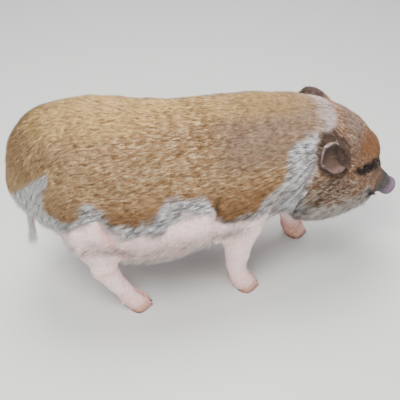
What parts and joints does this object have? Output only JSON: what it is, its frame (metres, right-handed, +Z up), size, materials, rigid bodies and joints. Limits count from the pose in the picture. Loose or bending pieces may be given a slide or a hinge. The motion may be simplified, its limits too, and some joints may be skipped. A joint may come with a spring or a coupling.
{
  "type": "miniature pig",
  "caption": "Life-size miniature pig standing with lowered head, coarse coat, swept-back ears, flat snout, cloven feet and a straight tufted tail.",
  "frame": {"origin": "centre of the overall box in plan, at the level of the soles", "axes": "+X towards the nose, +Y the animal's left, +Z up"},
  "size_m": [0.8976, 0.3694, 0.5088],
  "materials": {
    "torso": "coarse golden-brown bristle over grey skin",
    "neck": "grey-brown bristle with a pale band",
    "head": "rust and tan bristle",
    "snout": "bare moist skin",
    "ear": "thin dark skin with short hair",
    "eye": "wet dark brown",
    "leg": "pink skin with sparse pale hair",
    "tail": "pink skin with a pale tassel",
    "hoof": "pale horn"
  },
  "bodies": {
    "root": {"dewclaw_foreleg_left_inner": "hoof", "dewclaw_foreleg_left_outer": "hoof", "dewclaw_foreleg_right_inner": "hoof", "dewclaw_foreleg_right_outer": "hoof", "dewclaw_hindleg_left_inner": "hoof", "dewclaw_hindleg_left_outer": "hoof", "dewclaw_hindleg_right_inner": "hoof", "dewclaw_hindleg_right_outer": "hoof", "ear_left": "ear", "ear_right": "ear", "eye_left": "eye", "eye_right": "eye", "foreleg_left": "leg", "foreleg_right": "leg", "head": "head", "hindleg_left": "leg", "hindleg_right": "leg", "hoof_foreleg_left_inner": "hoof", "hoof_foreleg_left_outer": "hoof", "hoof_foreleg_right_inner": "hoof", "hoof_foreleg_right_outer": "hoof", "hoof_hindleg_left_inner": "hoof", "hoof_hindleg_left_outer": "hoof", "hoof_hindleg_right_inner": "hoof", "hoof_hindleg_right_outer": "hoof", "neck": "neck", "snout": "snout", "tail": "tail", "torso": "torso"}
  },
  "joints": []
}
